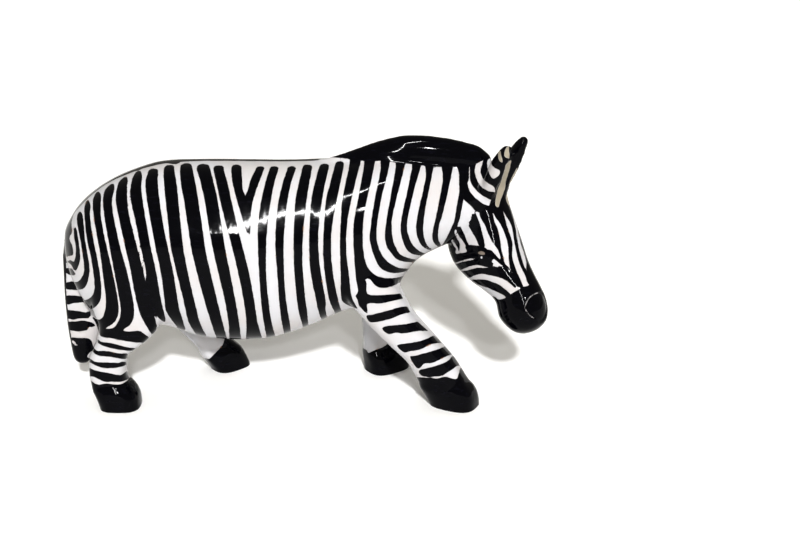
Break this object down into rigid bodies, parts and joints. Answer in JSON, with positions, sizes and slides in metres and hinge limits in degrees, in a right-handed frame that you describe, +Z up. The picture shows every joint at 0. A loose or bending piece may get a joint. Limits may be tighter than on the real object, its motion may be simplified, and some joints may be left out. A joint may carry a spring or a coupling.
{
  "type": "zebra figurine",
  "caption": "Carved wooden zebra in a walking pose, head lowered and turned to its right, standing by its own weight on flat hooves, for a shelf or a table.",
  "frame": {"origin": "centre of the bounding box in X and Y, on the ground plane the hooves stand on", "axes": "+X along the body from the tail to the head, +Y from the animal's right flank to its left flank, +Z up"},
  "size_m": [0.1994, 0.0546, 0.1125],
  "materials": {
    "painted_wood": "gloss"
  },
  "bodies": {
    "root": {"zebra": "painted_wood"}
  },
  "joints": []
}
